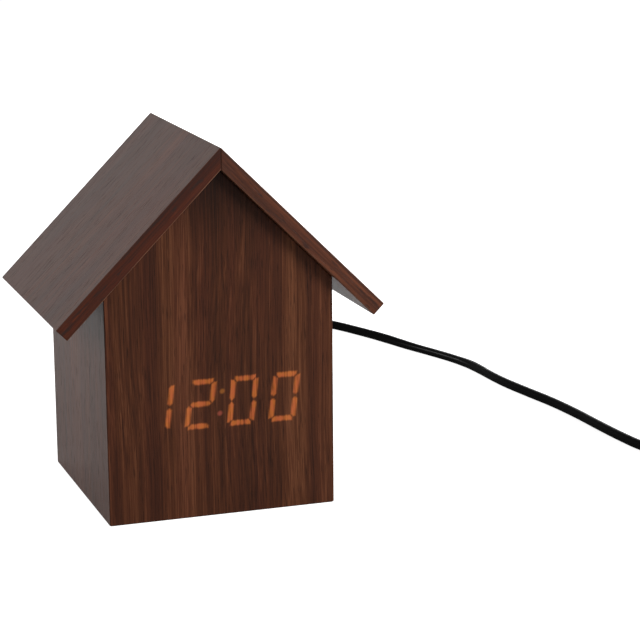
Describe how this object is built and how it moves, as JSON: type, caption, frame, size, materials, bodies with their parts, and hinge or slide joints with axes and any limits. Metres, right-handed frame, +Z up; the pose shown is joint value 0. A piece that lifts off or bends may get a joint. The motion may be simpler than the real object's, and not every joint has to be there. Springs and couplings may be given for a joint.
{
  "type": "digital alarm clock",
  "caption": "House-shaped wooden alarm clock with digits that glow through its front veneer, rear controls, a battery bay and a plugged-in power lead.",
  "frame": {"origin": "on the table, under the middle of the case", "axes": "+Z up, -Y out of the front with the digits, +X to the right as seen from the front"},
  "size_m": [0.3158, 0.3587, 0.1435],
  "materials": {
    "veneer": "satin dark walnut veneer",
    "roof_veneer": "satin dark walnut veneer",
    "raw_board": "raw",
    "black_moulding": "fine texture",
    "black_flex": "satin",
    "switch_plastic": "matt",
    "amber_lens": "translucent",
    "circuit_green": "satin",
    "cream_nylon": "satin",
    "ribbon_grey": "satin",
    "red_wire": "satin",
    "cell_jacket": "printed film over a steel can",
    "steel": "zinc plated",
    "dark_steel": "black plated",
    "nickel": "nickel plated"
  },
  "bodies": {
    "clock": {"front_panel": "veneer", "left_wall": "veneer", "right_wall": "veneer", "base_board": "veneer", "rear_panel": "veneer", "roof_board_left": "roof_veneer", "roof_board_right": "roof_veneer", "left_batten": "raw_board", "right_batten": "raw_board", "panel_screw_1": "steel", "panel_screw_2": "steel", "panel_screw_3": "steel", "panel_screw_4": "steel", "display_mask": "black_moulding", "digit_lens_1": "amber_lens", "digit_lens_2": "amber_lens", "digit_lens_3": "amber_lens", "digit_lens_4": "amber_lens", "colon_lens": "amber_lens", "display_board": "circuit_green", "board_screw_1": "steel", "board_screw_2": "steel", "controller_chip": "switch_plastic", "buzzer": "switch_plastic", "display_connector": "cream_nylon", "ribbon_cable": "ribbon_grey", "control_housing": "black_moulding", "housing_screw_1": "dark_steel", "housing_screw_2": "dark_steel", "control_board": "circuit_green", "down_switch": "switch_plastic", "up_switch": "switch_plastic", "set_switch": "switch_plastic", "alarm_switch_body": "steel", "dc_socket": "switch_plastic", "dc_socket_pin": "nickel", "control_connector": "cream_nylon", "battery_1": "cell_jacket", "battery_2": "cell_jacket", "battery_3": "cell_jacket", "negative_contact": "nickel", "link_contact_lower": "nickel", "link_contact_upper": "nickel", "positive_contact": "nickel", "positive_wire": "red_wire", "negative_wire": "black_flex", "dc_plug_barrel": "nickel", "dc_plug_grip": "black_flex", "dc_plug_strain_relief": "black_flex", "cord_lead": "black_flex", "cord_coil": "black_flex", "cord_tie": "black_moulding", "usb_plug_grip": "black_flex", "usb_plug_shell": "nickel", "usb_plug_tongue": "cream_nylon"},
    "down_key": {"down_button": "black_moulding"},
    "up_key": {"up_button": "black_moulding"},
    "set_key": {"set_button": "black_moulding"},
    "alarm_key": {"alarm_switch_knob": "black_moulding"},
    "door": {"battery_door": "black_moulding"}
  },
  "joints": [
    {"name": "down_button_press", "type": "slide", "parent": "clock", "child": "down_key", "axis": [0, -1, 0], "range_m": [0, 0.0005], "stiffness_N_per_m": 4000},
    {"name": "up_button_press", "type": "slide", "parent": "clock", "child": "up_key", "axis": [0, -1, 0], "range_m": [0, 0.0005], "stiffness_N_per_m": 4000},
    {"name": "set_button_press", "type": "slide", "parent": "clock", "child": "set_key", "axis": [0, -1, 0], "range_m": [0, 0.0005], "stiffness_N_per_m": 4000},
    {"name": "alarm_switch_slide", "type": "slide", "parent": "clock", "child": "alarm_key", "axis": [1, 0, 0], "range_m": [0, 0.002]},
    {"name": "battery_door_tilt", "type": "hinge", "parent": "clock", "child": "door", "pos_m": [0, 0.048, 0.0334], "axis": [-1, 0, 0], "range_deg": [0, 60]}
  ]
}
